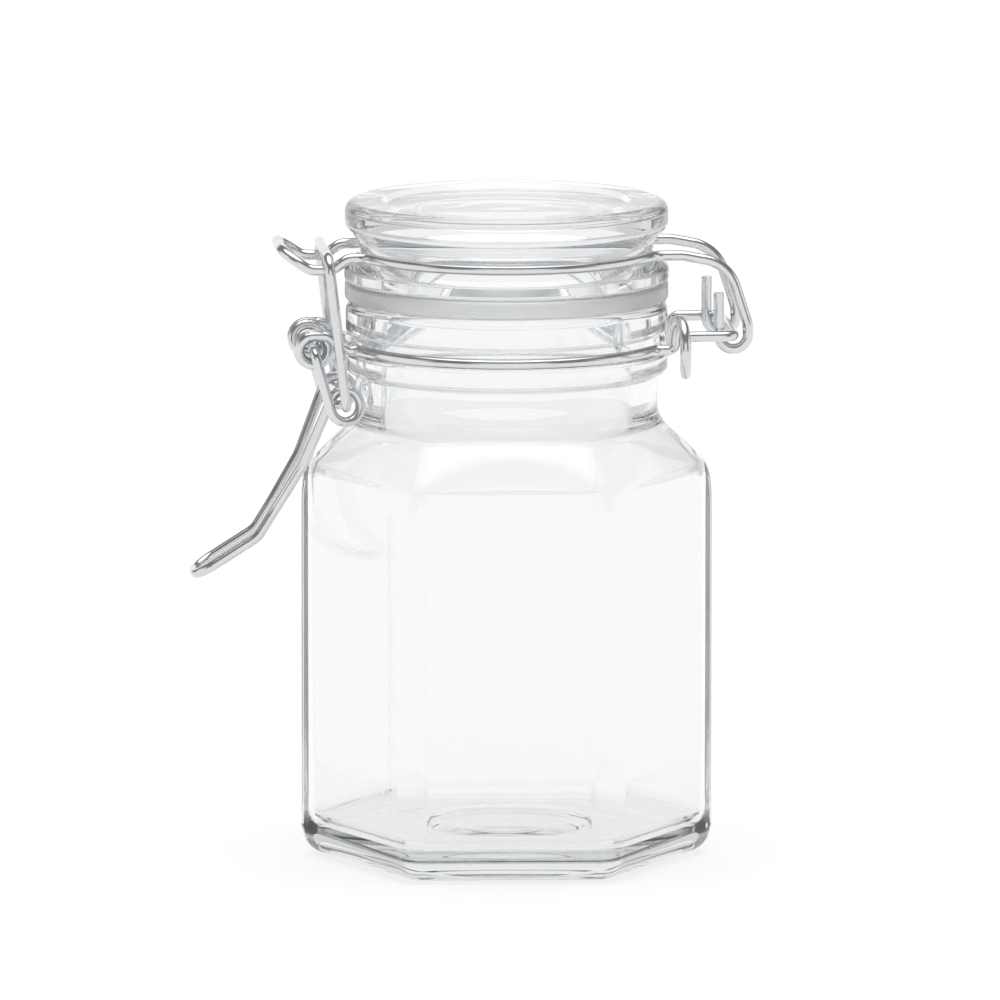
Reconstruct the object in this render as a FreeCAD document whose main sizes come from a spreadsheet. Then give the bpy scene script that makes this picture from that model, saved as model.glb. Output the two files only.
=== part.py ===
"""Bail clamp jar: a small hexagonal glass jar whose glass lid is held by bent wires.

Frame: +Z up, origin at the centre of the jar's base, hinge towards +X, latch towards -X, millimetres.
"""
import FreeCAD
import Part
import math
import os
import re
import Sketcher

from FreeCAD import Vector

CLOSE_ENOUGH = 1e-4

SIZES = {
    # hexagonal body
    "corner_reach": 31.0,
    "corner_round": 4.6,
    "heel_round": 4.4,
    "body_turn": -3.5,
    "wall": 2.2,
    "floor_height": 4.8,
    # outline of the shoulder and the neck, turned about the axis
    "turned_reach": 31.6,
    "shoulder_low": 58.56,
    "shoulder_high": 66.6,
    "shoulder_round": 9.0,
    "shoulder_hollow": 5.0,
    "neck_radius": 22.7,
    "bead_radius": 24.2,
    "bead_low": 73.7,
    "groove_radius": 23.0,
    "groove_low": 77.0,
    "groove_high": 79.8,
    "rim_height": 84.5,
    "rim_round": 1.4,
    "bead_round": 0.9,
    "bore_radius": 18.8,
    "inner_reach": 29.4,
    "inner_shoulder_low": 57.6,
    "inner_shoulder_high": 67.1,
    "inner_round": 6.5,
    "inner_heel_round": 2.5,
    # gasket
    "gasket_low": 84.65,
    "gasket_high": 87.4,
    "gasket_outer": 24.3,
    "gasket_inner": 18.6,
    "gasket_round": 0.6,
    # lid
    "plug_radius": 18.3,
    "plug_low": 84.9,
    "hollow_radius": 14.0,
    "hollow_mouth": 15.6,
    "hollow_high": 94.0,
    "skirt_radius": 24.4,
    "skirt_low": 87.5,
    "skirt_high": 89.5,
    "lid_groove_radius": 22.2,
    "lid_groove_low": 91.7,
    "lid_groove_high": 93.6,
    "flange_radius": 24.3,
    "flange_low": 95.9,
    "flange_round": 1.7,
    "lid_height": 99.6,
    "lid_round": 1.0,
    "recess_radius": 18.0,
    "recess_slope": 0.5,
    "recess_height": 98.8,
    # wires
    "wire_radius": 0.8,
    "latch_wire_radius": 0.75,
    "coil_pitch": 1.7,
    # neck wire
    "neck_ring_radius": 23.85,
    "neck_ring_height": 78.0,
    "hinge_arm_reach": 11.2,
    "hinge_arm_height": 80.0,
    "hinge_axis": 33.3,
    "hinge_corner_bend": 1.8,
    "hinge_coil_radius": 4.0,
    "hinge_coil_start": 27.0,
    "hinge_ring_bend": 2.0,
    "eye_radius": 2.2,
    "eye_reach": 7.5,
    "eye_ring_bend": 1.6,
    "eye_rise_start": 24.6,
    "eye_rise_end": 27.4,
    "eye_rise_bend": 2.0,
    "eye_return_start": 28.1,
    "eye_return_end": 25.95,
    "eye_return_bend": 1.4,
    # lid wire
    "lid_ring_radius": 23.1,
    "lid_ring_height": 92.0,
    "hook_reach": 9.2,
    "hook_radius": 2.2,
    "hook_top": 86.3,
    "hook_leg_height": 81.4,
    "hook_leg_bend": 4.0,
    "lid_arm_out": 32.5,
    "lid_arm_height": 90.7,
    "lid_arm_bend": 6.0,
    "lid_arm_end": 25.6,
    "lid_ring_bend": 3.0,
    "nose_reach": 8.4,
    "nose_start": 24.4,
    "nose_start_bend": 2.5,
    "nose_low_start": 26.8,
    "nose_low_end": 30.2,
    "nose_low_bend": 3.0,
    "nose_low": 90.3,
    "nose_tip": 34.2,
    "nose_tip_bend": 3.8,
    "nose_high": 93.0,
    # latch pivots, measured outwards from the axis and upwards
    "handle_pivot_out": 29.5,
    "handle_pivot_height": 78.0,
    "link_pivot_out": 24.9,
    "link_pivot_height": 69.8,
    # latch handle
    "handle_pin_end": 4.2,
    "handle_leg_reach": 9.4,
    "handle_leg_bend": 1.2,
    "handle_eye_radius": 2.25,
    "lever_start": 1.2,
    "lever_start_rise": 2.5,
    "lever_start_bend": 4.0,
    "lever_upper_out": 31.0,
    "lever_upper_height": 60.6,
    "lever_upper_reach": 5.6,
    "lever_middle_out": 35.3,
    "lever_middle_height": 53.4,
    "lever_bend": 9.0,
    "lever_knee_out": 37.8,
    "lever_knee_height": 49.4,
    "lever_knee_bend": 3.5,
    "lever_gap": 4.2,
    "lever_tip": 47.0,
    "lever_tip_height": 43.6,
    "lever_tip_bend": 3.4,
    # latch link
    "link_pin_end": 6.6,
    "link_leg_reach": 11.25,
    "link_foot_bend": 1.4,
    "link_bar_out": 27.5,
    "link_bar_height": 92.3,
    "link_bar_bend": 2.4,
}

doc = FreeCAD.newDocument("bail_clamp_jar")
sheet = doc.addObject("Spreadsheet::Sheet", "sizes")
for row, (alias, number) in enumerate(SIZES.items(), start=1):
    sheet.set(f"A{row}", alias)
    sheet.set(f"B{row}", str(number))
    sheet.setAlias(f"B{row}", alias)
doc.recompute()


def size(alias):
    """The number in the sheet's cell with this alias."""
    return float(sheet.get(alias))


def in_sheet(formula):
    """A formula of bare aliases, as an expression that names the sheet."""
    return re.sub(r"[a-z_]+", r"sizes.\g<0>", formula)


def value_of(thing, formula):
    """What a formula of aliases comes to, worked out by a document object."""
    return float(thing.evalExpression(in_sheet(formula)))


def outwards(side, out, reach, height):
    """The point at these named sizes, on the hinge side (1) or the latch side (-1)."""
    return side * size(out), reach, size(height)


# ---------------------------------------------------------------- turned and prismatic glass

def origin_plane(body, role):
    """The body's own origin plane with this role."""
    return next(plane for plane in body.Origin.OriginFeatures if plane.Role == role)


def outline_sketch(body, name, corners):
    """Closed outline of (radius, height) formulas on the XZ plane, each corner bound to the sheet."""
    sketch = body.newObject("Sketcher::SketchObject", name)
    sketch.AttachmentSupport = [(origin_plane(body, "XZ_Plane"), "")]
    sketch.MapMode = "FlatFace"
    places = [Vector(value_of(sketch, radius), value_of(sketch, height)) for radius, height in corners]
    for here, there in zip(places, places[1:] + places[:1]):
        sketch.addGeometry(Part.LineSegment(here, there), False)
    for line, (radius, height) in enumerate(corners):
        before = (line - 1) % len(corners)
        sketch.addConstraint(Sketcher.Constraint("Coincident", before, 2, line, 1))
        if radius == "0":
            sketch.addConstraint(Sketcher.Constraint("PointOnObject", line, 1, -2))
        else:
            across = sketch.addConstraint(Sketcher.Constraint("DistanceX", -1, 1, line, 1, places[line].x))
            sketch.setExpression(f"Constraints[{across}]", in_sheet(radius))
        if height == "0":
            sketch.addConstraint(Sketcher.Constraint("PointOnObject", line, 1, -1))
        else:
            up = sketch.addConstraint(Sketcher.Constraint("DistanceY", -1, 1, line, 1, places[line].y))
            sketch.setExpression(f"Constraints[{up}]", in_sheet(height))
    return sketch


def ring_edges(shape, radius, height):
    """Names of the circular edges of a turned shape at this radius and height."""
    names = []
    for number, edge in enumerate(shape.Edges, start=1):
        circle = edge.Curve
        if (isinstance(circle, Part.Circle) and abs(circle.Radius - radius) < CLOSE_ENOUGH
                and abs(circle.Center.z - height) < CLOSE_ENOUGH):
            names.append(f"Edge{number}")
    return names


def turned(label, corners, rounds):
    """A body turned about Z from an outline, with its ring edges rounded.

    rounds maps the index of a corner to the alias of its fillet radius.
    """
    body = doc.addObject("PartDesign::Body", label)
    sketch = outline_sketch(body, label + "_outline", corners)
    turn = body.newObject("PartDesign::Revolution", label + "_turn")
    turn.Profile = sketch
    turn.ReferenceAxis = (sketch, ["V_Axis"])
    turn.Angle = 360
    doc.recompute()
    for corner, alias in rounds.items():
        radius, height = (value_of(sketch, formula) for formula in corners[corner])
        so_far = body.Tip
        fillet = body.newObject("PartDesign::Fillet", f"{label}_round_{corner}")
        fillet.Base = (so_far, ring_edges(so_far.Shape, radius, height))
        fillet.setExpression("Radius", in_sheet(alias))
        doc.recompute()
    return body


def hexagon(label, reach, corner_round, heel_round, low, high):
    """A hexagonal prism with rounded corners and heel; reach is to the rounded corners, along X."""
    sharp_extra = 1 / math.cos(math.radians(30)) - 1
    body = doc.addObject("PartDesign::Body", label)
    prism = body.newObject("PartDesign::AdditivePrism", label + "_prism")
    prism.AttachmentSupport = [(origin_plane(body, "XY_Plane"), "")]
    prism.MapMode = "FlatFace"
    prism.Polygon = 6
    extra = f"({in_sheet(corner_round)}) * {sharp_extra:.6f}"
    prism.setExpression("Circumradius", f"{in_sheet(reach)} + {extra}")
    prism.setExpression("Height", in_sheet(high) + " - (" + in_sheet(low) + ")")
    prism.setExpression("AttachmentOffset.Base.z", in_sheet(low))
    doc.recompute()
    upright = [f"Edge{n}" for n, edge in enumerate(prism.Shape.Edges, start=1)
               if abs(edge.tangentAt(edge.FirstParameter).z) > 1 - CLOSE_ENOUGH]
    corners = body.newObject("PartDesign::Fillet", label + "_corners")
    corners.Base = (prism, upright)
    corners.setExpression("Radius", in_sheet(corner_round))
    doc.recompute()
    bottom = corners.Shape.BoundBox.ZMin
    around = [f"Edge{n}" for n, edge in enumerate(corners.Shape.Edges, start=1)
              if abs(edge.BoundBox.ZMin - bottom) + abs(edge.BoundBox.ZMax - bottom) < CLOSE_ENOUGH]
    heel = body.newObject("PartDesign::Fillet", label + "_heel")
    heel.Base = (corners, around)
    heel.setExpression("Radius", in_sheet(heel_round))
    body.setExpression("Placement.Rotation.Angle", "sizes.body_turn")
    doc.recompute()
    return body


def common(label, first, second):
    """What two bodies have in common."""
    both = doc.addObject("Part::Common", label)
    both.Base = first
    both.Tool = second
    return both


def glass_jar():
    """Jar: a hexagonal prism cut to a turned outline, less the same again for its inside."""
    outer_hexagon = hexagon("outer_hexagon", "corner_reach", "corner_round", "heel_round", "0", "rim_height")
    outer_turn = turned("outer_turn", [
        ("0", "0"),
        ("turned_reach", "0"),
        ("turned_reach", "shoulder_low"),
        ("neck_radius", "shoulder_high"),
        ("neck_radius", "bead_low"),
        ("bead_radius", "bead_low"),
        ("bead_radius", "groove_low"),
        ("groove_radius", "groove_low"),
        ("groove_radius", "groove_high"),
        ("bead_radius", "groove_high"),
        ("bead_radius", "rim_height"),
        ("0", "rim_height"),
    ], {2: "shoulder_round", 3: "shoulder_hollow", 5: "bead_round", 6: "bead_round", 10: "rim_round"})
    inner_hexagon = hexagon("inner_hexagon", "corner_reach - wall", "corner_round - wall / 2",
                            "inner_heel_round", "floor_height", "rim_height + wall")
    inner_turn = turned("inner_turn", [
        ("0", "0"),
        ("inner_reach", "0"),
        ("inner_reach", "inner_shoulder_low"),
        ("bore_radius", "inner_shoulder_high"),
        ("bore_radius", "rim_height + wall"),
        ("0", "rim_height + wall"),
    ], {2: "inner_round", 3: "inner_round"})
    jar = doc.addObject("Part::Cut", "glass_jar")
    jar.Base = common("jar_outside", outer_hexagon, outer_turn)
    jar.Tool = common("jar_inside", inner_hexagon, inner_turn)
    return jar


def glass_lid():
    """Lid: hollow plug, skirt on the gasket, groove for its wire and a rounded flange."""
    return turned("glass_lid", [
        ("0", "hollow_high"),
        ("hollow_radius", "hollow_high"),
        ("hollow_mouth", "plug_low"),
        ("plug_radius", "plug_low"),
        ("plug_radius", "skirt_low"),
        ("skirt_radius", "skirt_low"),
        ("skirt_radius", "skirt_high"),
        ("lid_groove_radius", "lid_groove_low"),
        ("lid_groove_radius", "lid_groove_high"),
        ("flange_radius", "flange_low"),
        ("flange_radius", "lid_height"),
        ("recess_radius + recess_slope", "lid_height"),
        ("recess_radius", "recess_height"),
        ("0", "recess_height"),
    ], {1: "lid_round", 9: "flange_round", 10: "flange_round"})


def gasket():
    """Flat sealing ring between the jar's rim and the lid's skirt."""
    return turned("gasket", [
        ("gasket_inner", "gasket_low"),
        ("gasket_outer", "gasket_low"),
        ("gasket_outer", "gasket_high"),
        ("gasket_inner", "gasket_high"),
    ], {1: "gasket_round", 2: "gasket_round"})


# ---------------------------------------------------------------- bent wires

class Route:
    """A wire's centre line: straight runs, bends of stated radius and true half turns."""

    def __init__(self, start):
        self.edges = []
        self.here = Vector(*start)

    def line_to(self, place):
        """A straight run to place, or nothing when already there."""
        if self.here.distanceToPoint(place) > CLOSE_ENOUGH:
            self.edges.append(Part.makeLine(self.here, place))
            self.here = place

    def arc_to(self, middle, end):
        """An arc through middle to end."""
        self.edges.append(Part.Arc(self.here, middle, end).toShape())
        self.here = end

    def runs(self, bends, end):
        """Straight runs through (place, bend radius) corners to end."""
        corners = [(Vector(*place), radius) for place, radius in bends]
        ahead = [place for place, radius in corners[1:]] + [Vector(*end)]
        for (corner, radius), following in zip(corners, ahead):
            back = (self.here - corner).normalize()
            on = (following - corner).normalize()
            half_angle = back.getAngle(on) / 2
            tangent = radius / math.tan(half_angle)
            inwards = (back + on).normalize()
            middle = corner + inwards * (radius / math.sin(half_angle) - radius)
            self.line_to(corner + back * tangent)
            self.arc_to(middle, corner + on * tangent)
        self.line_to(Vector(*end))

    def half_turn(self, end, bulge):
        """Half a circle to end, bulging along the unit vector bulge."""
        end = Vector(*end)
        middle = (self.here + end) * 0.5 + Vector(*bulge) * (self.here.distanceToPoint(end) / 2)
        self.arc_to(middle, end)

    def wire(self):
        """The whole centre line as one wire."""
        return Part.Wire(self.edges)


def ring_bend(ring_radius, strand_reach, bend_radius, outside):
    """Centre of the bend between a ring and a strand parallel to X, as (distance along X, Y).

    outside is True where the ring goes on beyond the strand, away from the XZ plane.
    """
    sideways = strand_reach + bend_radius if outside else strand_reach - bend_radius
    return math.sqrt((ring_radius + bend_radius) ** 2 - sideways ** 2), sideways


def round_bar(route, radius):
    """A round bar swept along the route, checked against its section times its length."""
    path = route.wire()
    start = route.edges[0]
    heading = start.tangentAt(start.FirstParameter)
    section = Part.Wire(Part.makeCircle(radius, start.valueAt(start.FirstParameter), heading))
    bar = path.makePipeShell([section], True, False)
    expected = math.pi * radius ** 2 * path.Length
    if abs(bar.Volume - expected) > 0.01 * expected:
        raise ValueError(f"swept volume {bar.Volume:.2f} differs from {expected:.2f}")
    return bar


def mirrored_pair(label, half):
    """A feature made of one half of a symmetric wire and its mirror image about the XZ plane."""
    whole = half.fuse(half.mirror(Vector(0, 0, 0), Vector(0, 1, 0))).removeSplitter()
    feature = doc.addObject("Part::Feature", label)
    feature.Shape = whole.Solids[0] if len(whole.Solids) == 1 else whole
    return feature


def neck_wire():
    """Ring in the neck groove, with the hinge frame at +X and two coiled eyes at -X."""
    radius = size("neck_ring_radius")
    ring_height = size("neck_ring_height")
    arm = size("hinge_arm_reach")
    arm_height = size("hinge_arm_height")
    pitch = size("coil_pitch")
    route = Route((size("hinge_axis"), 0, arm_height))

    # arm, then one coil turn about an axis along X, then on to the ring
    coil_bend = (arm_height - ring_height) / 2
    coil_x = size("hinge_coil_start") - coil_bend
    coil_z = arm_height - coil_bend
    coil_end = coil_x - pitch
    far_side = arm + 2 * size("hinge_coil_radius")
    route.runs([((size("hinge_axis"), arm, arm_height), size("hinge_corner_bend")),
                ((coil_x, arm, arm_height), coil_bend)], (coil_x, arm, coil_z))
    route.half_turn((coil_x - pitch / 2, far_side, coil_z), (0, 0, -1))
    route.half_turn((coil_end, arm, coil_z), (0, 0, 1))
    hinge_bend = size("hinge_ring_bend")
    bend_x, bend_y = ring_bend(radius, arm, hinge_bend, True)
    route.runs([((coil_end, arm, ring_height), coil_bend)], (bend_x, arm, ring_height))

    # out of the hinge arm, round half the neck and out to the eye
    eye = size("eye_reach")
    eye_bend = size("eye_ring_bend")
    eye_x, eye_y = ring_bend(radius, eye, eye_bend, True)
    arc_out(route, (bend_x, bend_y), hinge_bend, radius, ring_height)
    route.arc_to(Vector(0, radius, ring_height), on_ring((-eye_x, eye_y), radius, ring_height))
    arc_in(route, (-eye_x, eye_y), eye_bend, Vector(-eye_x, eye, ring_height), ring_height)

    # one and a half coils round the handle's pivot
    pivot_x = -size("handle_pivot_out")
    pivot_z = size("handle_pivot_height")
    coil = size("eye_radius")
    rise_bend = size("eye_rise_bend")
    route.runs([((-size("eye_rise_start"), eye, ring_height), rise_bend),
                ((-size("eye_rise_end"), eye, pivot_z + coil), rise_bend)], (pivot_x, eye, pivot_z + coil))
    route.half_turn((pivot_x, eye - pitch / 2, pivot_z - coil), (-1, 0, 0))
    route.half_turn((pivot_x, eye - pitch, pivot_z + coil), (1, 0, 0))
    last = eye - 1.5 * pitch
    route.half_turn((pivot_x, last, pivot_z - coil), (-1, 0, 0))

    # back to the ring between the eyes
    back_x, back_y = ring_bend(radius, last, eye_bend, False)
    return_bend = size("eye_return_bend")
    route.runs([((-size("eye_return_start"), last, pivot_z - coil), return_bend),
                ((-size("eye_return_end"), last, ring_height), return_bend)], (-back_x, last, ring_height))
    arc_in(route, (-back_x, back_y), eye_bend, on_ring((-back_x, back_y), radius, ring_height), ring_height)
    closing = math.atan2(back_y, -back_x) / 2 + math.pi / 2
    route.arc_to(Vector(radius * math.cos(closing), radius * math.sin(closing), ring_height),
                 Vector(-radius, 0, ring_height))
    return mirrored_pair("neck_wire", round_bar(route, size("wire_radius")))


def on_ring(bend_centre, ring_radius, height):
    """The point where a bend with this centre touches the ring."""
    centre = Vector(bend_centre[0], bend_centre[1], 0)
    touch = centre.normalize() * ring_radius
    return Vector(touch.x, touch.y, height)


def arc_in(route, bend_centre, bend_radius, end, height):
    """A bend about bend_centre from the route's end to the given end."""
    centre = Vector(bend_centre[0], bend_centre[1], height)
    middle = ((route.here - centre) + (end - centre)).normalize() * bend_radius + centre
    route.arc_to(middle, end)


def arc_out(route, bend_centre, bend_radius, ring_radius, height):
    """A bend about bend_centre from the route's end to where it touches the ring."""
    arc_in(route, bend_centre, bend_radius, on_ring(bend_centre, ring_radius, height), height)


def lid_wire():
    """Ring in the lid groove, hooked on the hinge bar at +X and bent to a nose at -X."""
    radius = size("lid_ring_radius")
    height = size("lid_ring_height")
    hook = size("hook_reach")
    axis_x = size("hinge_axis")
    axis_z = size("hinge_arm_height")
    hook_radius = size("hook_radius")
    bend = size("lid_ring_bend")

    # hook: post, turn under the hinge bar, leg
    route = Route((axis_x - hook_radius, hook, size("hook_top")))
    route.line_to(Vector(axis_x - hook_radius, hook, axis_z))
    route.half_turn((axis_x + hook_radius, hook, axis_z), (0, 0, -1))
    bend_x, bend_y = ring_bend(radius, hook, bend, True)
    arm_bend = size("lid_arm_bend")
    route.runs([((axis_x + hook_radius, hook, size("hook_leg_height")), size("hook_leg_bend")),
                (outwards(1, "lid_arm_out", hook, "lid_arm_height"), arm_bend),
                (outwards(1, "lid_arm_end", hook, "lid_ring_height"), arm_bend)], (bend_x, hook, height))

    # round half the lid
    nose = size("nose_reach")
    nose_x, nose_y = ring_bend(radius, nose, bend, True)
    arc_out(route, (bend_x, bend_y), bend, radius, height)
    route.arc_to(Vector(0, radius, height), on_ring((-nose_x, nose_y), radius, height))
    arc_in(route, (-nose_x, nose_y), bend, Vector(-nose_x, nose, height), height)

    # nose
    low_bend = size("nose_low_bend")
    route.runs([(outwards(-1, "nose_start", nose, "lid_ring_height"), size("nose_start_bend")),
                (outwards(-1, "nose_low_start", nose, "nose_low"), low_bend),
                (outwards(-1, "nose_low_end", nose, "nose_low"), low_bend),
                (outwards(-1, "nose_tip", nose, "nose_high"), size("nose_tip_bend"))],
               outwards(-1, "nose_tip", 0, "nose_high"))
    return mirrored_pair("lid_wire", round_bar(route, size("wire_radius")))


def latch_handle():
    """Handle: pins in the neck wire's eyes, an eye for the link on each leg, and the finger lever."""
    pivot = Vector(-size("handle_pivot_out"), 0, size("handle_pivot_height"))
    eye = Vector(-size("link_pivot_out"), 0, size("link_pivot_height"))
    turn = size("handle_eye_radius")
    leg = size("handle_leg_reach")
    pitch = size("coil_pitch")
    inner = leg - pitch

    def on_eye(heading, reach):
        """Where a route with this heading, turning left about the eye's centre, touches the eye."""
        return Vector(eye.x + turn * math.sin(heading), reach, eye.z - turn * math.cos(heading))

    straight = math.atan2(eye.z - pivot.z, eye.x - pivot.x)
    arrive = straight - math.asin(turn / pivot.distanceToPoint(eye))
    lever_rise = size("lever_start_rise")
    leave = math.pi + math.atan(lever_rise)
    touch = on_eye(arrive, leg)
    across = on_eye(arrive + math.pi, inner)
    away = on_eye(leave, inner)

    route = Route((pivot.x, size("handle_pin_end"), pivot.z))
    route.runs([((pivot.x, leg, pivot.z), size("handle_leg_bend"))], touch)
    route.half_turn(across, (math.cos(arrive), 0, math.sin(arrive)))
    route.arc_to(on_eye((arrive + math.pi + leave) / 2, inner), away)

    gap = size("lever_gap")
    start = away + Vector(math.cos(leave), 0, math.sin(leave)) * size("lever_start")
    upper_reach = size("lever_upper_reach")
    lever_bend = size("lever_bend")
    route.runs([(start, size("lever_start_bend")),
                (outwards(-1, "lever_upper_out", upper_reach, "lever_upper_height"), lever_bend),
                (outwards(-1, "lever_middle_out", gap, "lever_middle_height"), lever_bend),
                (outwards(-1, "lever_knee_out", gap, "lever_knee_height"), size("lever_knee_bend")),
                (outwards(-1, "lever_tip", gap, "lever_tip_height"), size("lever_tip_bend"))],
               outwards(-1, "lever_tip", 0, "lever_tip_height"))
    return mirrored_pair("latch_handle", round_bar(route, size("latch_wire_radius")))


def latch_link():
    """Link: a bar over the nose, with two legs whose ends turn in as pins in the handle's eyes."""
    reach = size("link_leg_reach")
    route = Route(outwards(-1, "link_pivot_out", size("link_pin_end"), "link_pivot_height"))
    route.runs([(outwards(-1, "link_pivot_out", reach, "link_pivot_height"), size("link_foot_bend")),
                (outwards(-1, "link_bar_out", reach, "link_bar_height"), size("link_bar_bend"))],
               outwards(-1, "link_bar_out", 0, "link_bar_height"))
    return mirrored_pair("latch_link", round_bar(route, size("latch_wire_radius")))


# ---------------------------------------------------------------- build, check and write

nodes = [glass_jar(), neck_wire(), glass_lid(), gasket(), lid_wire(), latch_handle(), latch_link()]
for node in nodes:
    node.Label = node.Name
doc.recompute()

for thing in doc.Objects:
    if {"Invalid", "Error"} & set(thing.State):
        raise RuntimeError(f"{thing.Label} failed: {thing.State}")
for node in nodes:
    if node.Shape.isNull() or not node.Shape.isValid():
        raise RuntimeError(f"{node.Label} has no valid shape")

os.makedirs("parts", exist_ok=True)
for node in nodes:
    node.Shape.exportStep(f"parts/{node.Label}.step")
    box = node.Shape.BoundBox
    print(f"{node.Label}: {len(node.Shape.Solids)} solid, {node.Shape.Volume:.0f} mm3, "
          f"x {box.XMin:.2f}..{box.XMax:.2f}, y {box.YMin:.2f}..{box.YMax:.2f}, "
          f"z {box.ZMin:.2f}..{box.ZMax:.2f}")
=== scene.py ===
"""Bail clamp jar: clear pressed glass, a clear sealing ring and bright bent wires, in metres.

The jar and the lid get smooth glass meshes of their own.
The wires and the sealing ring are the frame's own nodes.
"""
import math

import bpy
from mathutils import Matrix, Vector


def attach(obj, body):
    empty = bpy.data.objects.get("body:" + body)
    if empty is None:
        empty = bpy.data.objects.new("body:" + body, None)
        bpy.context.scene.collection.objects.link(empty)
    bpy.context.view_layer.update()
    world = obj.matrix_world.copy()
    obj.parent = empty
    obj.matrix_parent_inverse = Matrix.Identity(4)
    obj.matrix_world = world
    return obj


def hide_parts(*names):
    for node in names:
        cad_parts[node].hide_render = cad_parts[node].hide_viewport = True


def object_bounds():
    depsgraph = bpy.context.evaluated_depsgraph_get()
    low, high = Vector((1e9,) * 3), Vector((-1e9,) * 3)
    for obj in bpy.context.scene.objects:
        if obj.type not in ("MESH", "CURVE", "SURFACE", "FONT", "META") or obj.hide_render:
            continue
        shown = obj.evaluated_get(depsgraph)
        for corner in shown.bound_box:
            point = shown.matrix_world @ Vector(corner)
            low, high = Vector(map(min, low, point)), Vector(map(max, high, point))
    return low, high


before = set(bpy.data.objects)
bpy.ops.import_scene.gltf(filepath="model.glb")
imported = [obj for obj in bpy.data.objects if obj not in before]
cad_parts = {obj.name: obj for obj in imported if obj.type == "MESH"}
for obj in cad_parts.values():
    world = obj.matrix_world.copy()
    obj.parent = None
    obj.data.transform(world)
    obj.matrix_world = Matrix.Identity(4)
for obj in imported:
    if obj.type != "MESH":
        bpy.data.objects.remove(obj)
cad_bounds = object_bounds()

MM = 0.001
ARC_STEP = math.radians(7)
LEAST_ARC_STEPS = 3
CREASE_ANGLE = math.radians(40)
GLASS_BOUNCES = 32
GLOSS_BOUNCES = 12

# ---------------------------------------------------------------- jar, in millimetres
BODY_TURN = math.radians(-3.5)
APOTHEM = 27.41
CORNER_ROUND = 4.6
HEEL = 4.4
WALL = 2.2
FLOOR = 4.8
INNER_ROUND = 4.8
INNER_HEEL = 2.5
PUNT_RADIUS = 14.0
PUNT_DEPTH = 1.0
FLOOR_RISE = 0.5
BLEND = 2.6  # how near two radii are when one begins to pass into the other
HALF_SECTOR = math.radians(30)
CORNER_ZONE = math.radians(7)
FLAT_STEPS = 14
CORNER_STEPS = 24
HEEL_STEPS = 9
FLOOR_STEPS = 4
WALL_HEIGHTS = (12.0, 23.0, 34.0)

# radius and height at each corner of an outline, and the radius of the fillet on it
JAR_OUTSIDE = [
    (33.2, 46.0, 0), (33.2, 57.1, 11.0), (22.7, 66.6, 5.0), (22.7, 73.7, 0.5), (24.2, 73.7, 0.9),
    (24.2, 77.0, 0.6), (23.0, 77.0, 0.3), (23.0, 79.8, 0.3), (24.2, 79.8, 0.6), (24.2, 84.5, 1.5),
    (18.8, 84.5, 1.3), (18.8, 80.0, 0)]
JAR_INSIDE = [(18.8, 80.0, 0), (18.8, 67.1, 6.0), (31.0, 56.6, 7.0), (31.0, 44.0, 0)]

# a circular step in the underside and in the floor: share of its radius, and share of its rise
DISH_SHARES = [(0.35, 1.0), (0.72, 1.0), (0.8, 0.92), (0.86, 0.66), (0.92, 0.3), (0.97, 0.06)]

# ---------------------------------------------------------------- lid, in millimetres
LID_HOLLOW = 94.0
LID_RECESS = 98.8
LID_COLUMNS = 144
LID_OUTLINE = [
    (4.0, LID_HOLLOW, 0), (14.0, LID_HOLLOW, 1.8), (15.6, 84.9, 0.6), (18.3, 84.9, 0.7), (18.3, 87.5, 0.4),
    (24.4, 87.5, 0.6), (24.4, 89.5, 0.7), (22.2, 91.7, 0.7), (22.2, 93.6, 0.7), (24.3, 95.9, 1.7),
    (24.3, 99.6, 1.7), (18.6, 99.6, 0.5), (18.0, LID_RECESS, 0.4), (4.0, LID_RECESS, 0)]


# ---------------------------------------------------------------- glass shapes

def rounded(corners):
    """Points along an outline of (radius, height, fillet) corners, with the fillets as arcs."""
    places = [Vector(corner[:2]) for corner in corners]
    points = [places[0]]
    for before, place, after, corner in zip(places, places[1:], places[2:], corners[1:]):
        back = (before - place).normalized()
        on = (after - place).normalized()
        half_angle = back.angle(on) / 2
        fillet = corner[2]
        if fillet == 0:
            points.append(place)
            continue
        centre = place + (back + on).normalized() * (fillet / math.sin(half_angle))
        start = place + back * (fillet / math.tan(half_angle)) - centre
        end = place + on * (fillet / math.tan(half_angle)) - centre
        swing = start.angle_signed(end)
        steps = max(LEAST_ARC_STEPS, math.ceil(abs(swing) / ARC_STEP))
        for step in range(steps + 1):
            cosine = math.cos(-swing * step / steps)
            sine = math.sin(-swing * step / steps)
            spoke = Vector((start.x * cosine - start.y * sine, start.x * sine + start.y * cosine))
            points.append(centre + spoke)
    points.append(places[-1])
    return points


def hexagon_radius(angle, apothem, corner_round):
    """Distance from the centre to a hexagon with rounded corners, one of them at angle 0."""
    off_corner = abs((angle + HALF_SECTOR) % (2 * HALF_SECTOR) - HALF_SECTOR)
    centre = (apothem - corner_round) / math.cos(HALF_SECTOR)
    off_face = HALF_SECTOR - off_corner
    if math.tan(off_face) < centre * math.sin(HALF_SECTOR) / apothem:
        return apothem / math.cos(off_face)
    aside = centre * math.sin(off_corner)
    return centre * math.cos(off_corner) + math.sqrt(corner_round ** 2 - aside ** 2)


def soft_least(a, b):
    """The smaller of two radii, with a soft passage from one to the other."""
    near = max(BLEND - abs(a - b), 0) / BLEND
    return min(a, b) - near * near * BLEND / 4


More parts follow.
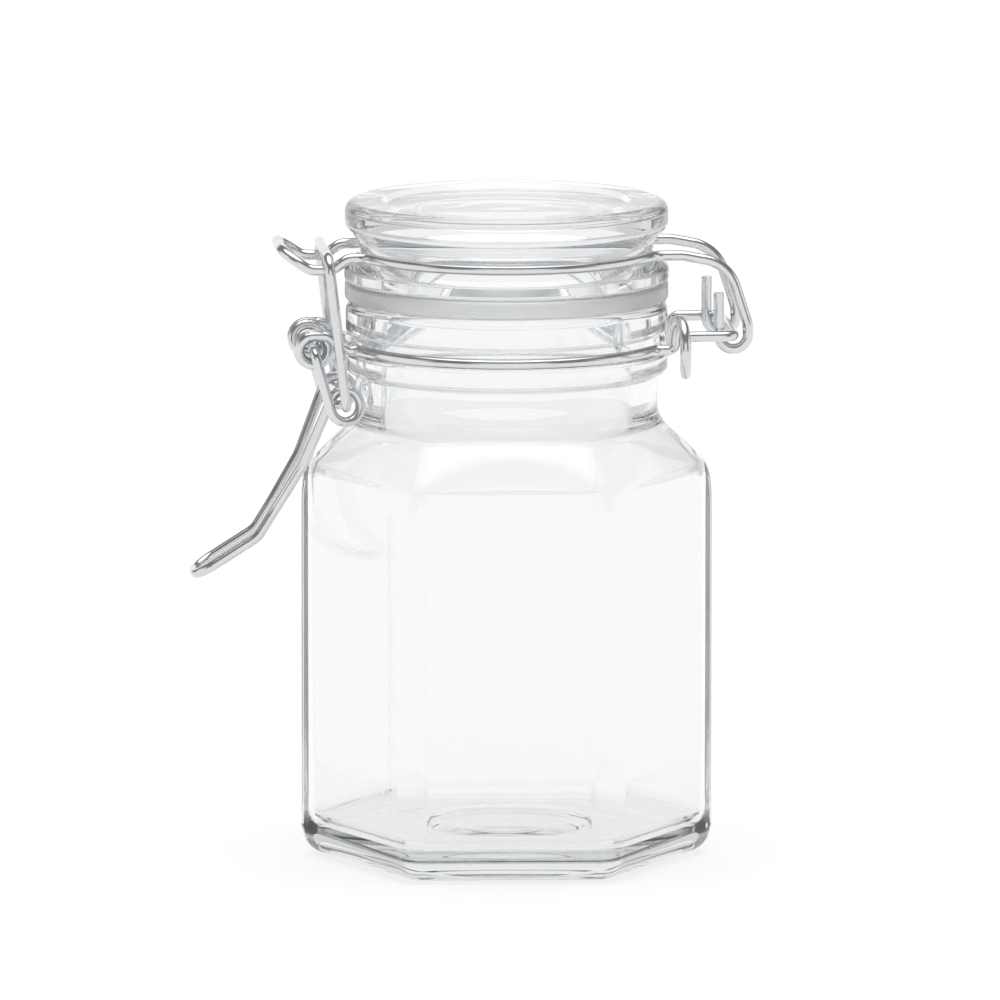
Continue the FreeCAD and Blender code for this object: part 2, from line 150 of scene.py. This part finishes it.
def column_angles():
    """Angles round the jar, closer together at the six corners."""
    angles = []
    for sector in range(6):
        corner = sector * 2 * HALF_SECTOR
        for step in range(CORNER_STEPS):
            angles.append(corner - CORNER_ZONE + 2 * CORNER_ZONE * step / CORNER_STEPS)
        flat = 2 * HALF_SECTOR - 2 * CORNER_ZONE
        for step in range(FLAT_STEPS):
            angles.append(corner + CORNER_ZONE + flat * step / FLAT_STEPS)
    return angles


def lathe(name, rows, angles, turn, first_pole, last_pole):
    """A closed mesh of rings, each a height and one radius per angle, with a pole at each end.

    The poles are points on the axis at the given heights. Everything is turned about the axis by turn.
    """
    vertices = []
    for height, radii in rows:
        for angle, radius in zip(angles, radii):
            reach = radius * MM
            vertices.append((reach * math.cos(angle + turn), reach * math.sin(angle + turn), height * MM))
    count = len(angles)
    faces = []
    for row in range(len(rows) - 1):
        low = row * count
        high = low + count
        for column in range(count):
            after = (column + 1) % count
            faces.append((low + column, low + after, high + after, high + column))
    first = len(vertices)
    vertices.append((0, 0, first_pole * MM))
    vertices.append((0, 0, last_pole * MM))
    top = (len(rows) - 1) * count
    for column in range(count):
        after = (column + 1) % count
        faces.append((first, after, column))
        faces.append((first + 1, top + column, top + after))
    mesh = bpy.data.meshes.new(name)
    mesh.from_pydata(vertices, [], faces)
    mesh.validate()
    mesh.shade_smooth()
    piece = bpy.data.objects.new(name, mesh)
    bpy.context.scene.collection.objects.link(piece)
    return piece


def jar_rows(angles):
    """Rings of the jar from the middle of its underside, up the outside and down the inside to the floor."""
    def hexagonal(height, inset, apothem, corner_round):
        """One hexagonal ring, set in from the wall."""
        return height, [hexagon_radius(a, apothem - inset, corner_round - inset) for a in angles]

    def cut_by(points, apothem, corner_round):
        """A hexagonal wall cut by an outline that is turned about the axis."""
        wall = [hexagon_radius(a, apothem, corner_round) for a in angles]
        return [(point.y, [soft_least(reach, point.x) for reach in wall]) for point in points]

    def heel(low, size, apothem, corner_round):
        """Quarter of a round from a level face up into the wall."""
        quarter = [math.pi / 2 * step / HEEL_STEPS for step in range(HEEL_STEPS + 1)]
        return [hexagonal(low + size * (1 - math.cos(q)), size * (1 - math.sin(q)), apothem, corner_round)
                for q in quarter]

    def spread(height, outer_row):
        """Flat rings from the circular step out to a hexagonal ring."""
        return [(height, [PUNT_RADIUS + (reach - PUNT_RADIUS) * step / FLOOR_STEPS for reach in outer_row])
                for step in range(FLOOR_STEPS)]

    def dish(edge_height, rise):
        """The circular step, from its middle outwards."""
        return [(edge_height + rise * share, [PUNT_RADIUS * reach] * len(angles))
                for reach, share in DISH_SHARES]

    inner_apothem = APOTHEM - WALL
    outside_heel = heel(0, HEEL, APOTHEM, CORNER_ROUND)
    inside_heel = heel(FLOOR, INNER_HEEL, inner_apothem, INNER_ROUND)

    rows = dish(0, PUNT_DEPTH)
    rows += spread(0, outside_heel[0][1])
    rows += outside_heel
    rows += [hexagonal(height, 0, APOTHEM, CORNER_ROUND) for height in WALL_HEIGHTS]
    rows += cut_by(rounded(JAR_OUTSIDE), APOTHEM, CORNER_ROUND)
    rows += cut_by(rounded(JAR_INSIDE)[1:], inner_apothem, INNER_ROUND)
    rows += [hexagonal(height, 0, inner_apothem, INNER_ROUND) for height in reversed(WALL_HEIGHTS)]
    rows += inside_heel[::-1]
    rows += spread(FLOOR, inside_heel[0][1])[::-1]
    rows += dish(FLOOR, FLOOR_RISE)[::-1]
    return rows


def build_jar():
    """Jar with a punt under it, its body turned a little against the closure."""
    angles = column_angles()
    return lathe("jar_glass", jar_rows(angles), angles, BODY_TURN, PUNT_DEPTH, FLOOR + FLOOR_RISE)


def build_lid():
    """Lid from the hollow under its plug, round the flange to the recess in its top."""
    angles = [2 * math.pi * step / LID_COLUMNS for step in range(LID_COLUMNS)]
    rows = [(point.y, [point.x] * LID_COLUMNS) for point in rounded(LID_OUTLINE)]
    return lathe("lid_glass", rows, angles, 0, LID_HOLLOW, LID_RECESS)


# ---------------------------------------------------------------- materials

def new_material(name):
    """A material with its node list, its links and its shader."""
    material = bpy.data.materials.new(name)
    material.use_nodes = True
    nodes = material.node_tree.nodes
    return material, nodes, material.node_tree.links, nodes["Principled BSDF"]


def noise(nodes, links, scale, detail=2.0, stretch=(1, 1, 1)):
    """Noise in object space, scale in cycles per metre."""
    place = nodes.new("ShaderNodeTexCoord")
    mapping = nodes.new("ShaderNodeMapping")
    mapping.inputs["Scale"].default_value = stretch
    texture = nodes.new("ShaderNodeTexNoise")
    texture.inputs["Scale"].default_value = scale
    texture.inputs["Detail"].default_value = detail
    links.new(place.outputs["Object"], mapping.inputs["Vector"])
    links.new(mapping.outputs["Vector"], texture.inputs["Vector"])
    return texture


def bump(nodes, links, shader, texture, distance):
    """Relief from a texture, distance metres deep."""
    node = nodes.new("ShaderNodeBump")
    node.inputs["Distance"].default_value = distance
    links.new(texture.outputs["Fac"], node.inputs["Height"])
    links.new(node.outputs["Normal"], shader.inputs["Normal"])


def vary(nodes, links, texture, socket, low, high):
    """Drive a socket between two values by the middle of a texture's range."""
    span = nodes.new("ShaderNodeMapRange")
    span.inputs["From Min"].default_value = 0.3
    span.inputs["From Max"].default_value = 0.7
    span.inputs["To Min"].default_value = low
    span.inputs["To Max"].default_value = high
    links.new(texture.outputs["Fac"], span.inputs["Value"])
    links.new(span.outputs["Result"], socket)


def clear_glass():
    """Pressed soda-lime glass: faint waves left by the mould, and a neutral grey depth at its edges."""
    material, nodes, links, shader = new_material("clear_glass")
    shader.inputs["Base Color"].default_value = (0.955, 0.96, 0.966, 1)
    shader.inputs["Transmission Weight"].default_value = 1.0
    shader.inputs["Roughness"].default_value = 0.0
    shader.inputs["IOR"].default_value = 1.5
    bump(nodes, links, shader, noise(nodes, links, 45, 1.0, (1, 1, 0.5)), 0.00025)
    depth = nodes.new("ShaderNodeVolumeAbsorption")
    depth.inputs["Color"].default_value = (0.76, 0.78, 0.79, 1)
    depth.inputs["Density"].default_value = 10
    links.new(depth.outputs["Volume"], nodes["Material Output"].inputs["Volume"])
    return material


def clear_silicone():
    """Translucent sealing ring with a satin surface."""
    material, nodes, links, shader = new_material("clear_silicone")
    shader.inputs["Base Color"].default_value = (0.94, 0.95, 0.95, 1)
    shader.inputs["Transmission Weight"].default_value = 0.85
    shader.inputs["IOR"].default_value = 1.41
    grain = noise(nodes, links, 900, 4.0)
    vary(nodes, links, grain, shader.inputs["Roughness"], 0.28, 0.42)
    bump(nodes, links, shader, grain, 0.00003)
    return material


def bright_wire():
    """Drawn steel wire with a bright finish: uneven haze and a fine grain."""
    material, nodes, links, shader = new_material("bright_wire")
    shader.inputs["Metallic"].default_value = 1.0
    haze = noise(nodes, links, 350, 4.0)
    vary(nodes, links, haze, shader.inputs["Roughness"], 0.10, 0.24)
    tone = nodes.new("ShaderNodeMix")
    tone.data_type = "RGBA"
    tone.inputs["A"].default_value = (0.62, 0.63, 0.64, 1)
    tone.inputs["B"].default_value = (0.76, 0.77, 0.78, 1)
    links.new(haze.outputs["Fac"], tone.inputs["Factor"])
    links.new(tone.outputs["Result"], shader.inputs["Base Color"])
    bump(nodes, links, shader, noise(nodes, links, 2600, 3.0), 0.00001)
    return material


# ---------------------------------------------------------------- pieces on the frame

glass = clear_glass()
jar = build_jar()
jar.data.materials.append(glass)
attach(jar, "jar")
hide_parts("glass_jar")

lid = build_lid()
lid.data.materials.append(glass)
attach(lid, "lid")
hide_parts("glass_lid")

finishes = {"gasket": clear_silicone()}
wire = bright_wire()
for node in ("neck_wire", "lid_wire", "latch_handle", "latch_link"):
    finishes[node] = wire
for node, material in finishes.items():
    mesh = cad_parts[node].data
    mesh.materials.clear()
    mesh.materials.append(material)
    mesh.shade_smooth()
    mesh.set_sharp_from_angle(angle=CREASE_ANGLE)


# ---------------------------------------------------------------- stage, light and camera

def build_floor():
    """Pale floor that gives off part of its own brightness, which keeps the shadow faint."""
    half = 6.0
    corners = [(-half, -half, 0), (half, -half, 0), (half, half, 0), (-half, half, 0)]
    mesh = bpy.data.meshes.new("floor")
    mesh.from_pydata(corners, [], [(0, 1, 2, 3)])
    floor = bpy.data.objects.new("floor", mesh)
    bpy.context.scene.collection.objects.link(floor)
    floor.location.z = cad_bounds[0][2]
    material, nodes, links, shader = new_material("pale_floor")
    shader.inputs["Base Color"].default_value = (0.36, 0.36, 0.36, 1)
    shader.inputs["Roughness"].default_value = 0.9
    shader.inputs["Specular IOR Level"].default_value = 0.0
    shader.inputs["Emission Color"].default_value = (1, 1, 1, 1)
    shader.inputs["Emission Strength"].default_value = 0.73
    mesh.materials.append(material)


def build_world():
    """White surroundings with four darker upright bands, a darker ring high up and a bright top.

    The camera sees plain white. Reflections see the bands, and rays through glass see them weaker.
    """
    world = bpy.data.worlds.new("studio")
    bpy.context.scene.world = world
    world.use_nodes = True
    nodes = world.node_tree.nodes
    links = world.node_tree.links
    background = nodes["Background"]
    plain_glow = 1.04
    glass_glow_cut = 0.10
    band_depth = 0.80
    glass_band_cut = 0.53
    top_glow = 1.2

    def math_node(operation, first, second=None, clamp=False):
        """The result of one sum, from sockets or numbers."""
        node = nodes.new("ShaderNodeMath")
        node.operation = operation
        node.use_clamp = clamp
        for socket, value in zip(node.inputs, (first, second)):
            if isinstance(value, bpy.types.NodeSocket):
                links.new(value, socket)
            elif value is not None:
                socket.default_value = value
        return node.outputs["Value"]

    def ramp(value, low, high):
        """0 below low, 1 above high, and a soft rise between."""
        node = nodes.new("ShaderNodeMapRange")
        node.interpolation_type = "SMOOTHSTEP"
        node.inputs["From Min"].default_value = low
        node.inputs["From Max"].default_value = high
        links.new(value, node.inputs["Value"])
        return node.outputs["Result"]

    place = nodes.new("ShaderNodeTexCoord")
    split = nodes.new("ShaderNodeSeparateXYZ")
    links.new(place.outputs["Generated"], split.inputs["Vector"])
    x, y, z = split.outputs
    across = math_node("MULTIPLY", math_node("ABSOLUTE", math_node("MULTIPLY", x, y)), 2.0)
    aside = math_node("SUBTRACT", 1.0, math_node("MULTIPLY", z, z))
    diagonal = math_node("DIVIDE", across, math_node("MAXIMUM", aside, 0.001))
    band = ramp(diagonal, 0.66, 0.95)
    high = ramp(z, 0.25, 0.50)
    top = ramp(z, 0.80, 0.92)
    ring = math_node("SUBTRACT", high, top, clamp=True)
    dark = math_node("SUBTRACT", math_node("MAXIMUM", band, ring), top, clamp=True)
    rays = nodes.new("ShaderNodeLightPath")
    through = rays.outputs["Is Transmission Ray"]
    depth = math_node("SUBTRACT", band_depth, math_node("MULTIPLY", through, glass_band_cut))
    level = math_node("SUBTRACT", plain_glow, math_node("MULTIPLY", through, glass_glow_cut))
    glow = math_node("SUBTRACT", level, math_node("MULTIPLY", dark, depth))
    glow = math_node("ADD", glow, math_node("MULTIPLY", top, top_glow))
    seen = nodes.new("ShaderNodeMix")
    links.new(rays.outputs["Is Camera Ray"], seen.inputs["Factor"])
    links.new(glow, seen.inputs["A"])
    seen.inputs["B"].default_value = 1.0
    links.new(seen.outputs["Result"], background.inputs["Strength"])
    background.inputs["Color"].default_value = (1, 1, 1, 1)


def build_camera():
    """A long lens, a little above the jar and a little round towards its latch."""
    distance = 2.0065
    aim_across = -0.98 * MM
    aim_height = 53.9 * MM
    elevation = math.radians(8.9)
    azimuth = math.radians(-4.8)
    right = Vector((math.cos(azimuth), math.sin(azimuth), 0))
    target = right * aim_across + Vector((0, 0, aim_height))
    outwards = Vector((math.sin(azimuth) * math.cos(elevation), -math.cos(azimuth) * math.cos(elevation),
                       math.sin(elevation)))
    data = bpy.data.cameras.new("camera")
    data.lens = 480
    data.sensor_width = 36
    data.clip_end = 50
    camera = bpy.data.objects.new("camera", data)
    bpy.context.scene.collection.objects.link(camera)
    camera.location = target + outwards * distance
    camera.rotation_euler = (-outwards).to_track_quat("-Z", "Y").to_euler()
    bpy.context.scene.camera = camera


build_floor()
build_world()
build_camera()
bpy.context.scene.view_settings.view_transform = "Standard"
bpy.context.scene.cycles.max_bounces = GLASS_BOUNCES
bpy.context.scene.cycles.transmission_bounces = GLASS_BOUNCES
bpy.context.scene.cycles.glossy_bounces = GLOSS_BOUNCES

bpy.context.view_layer.update()
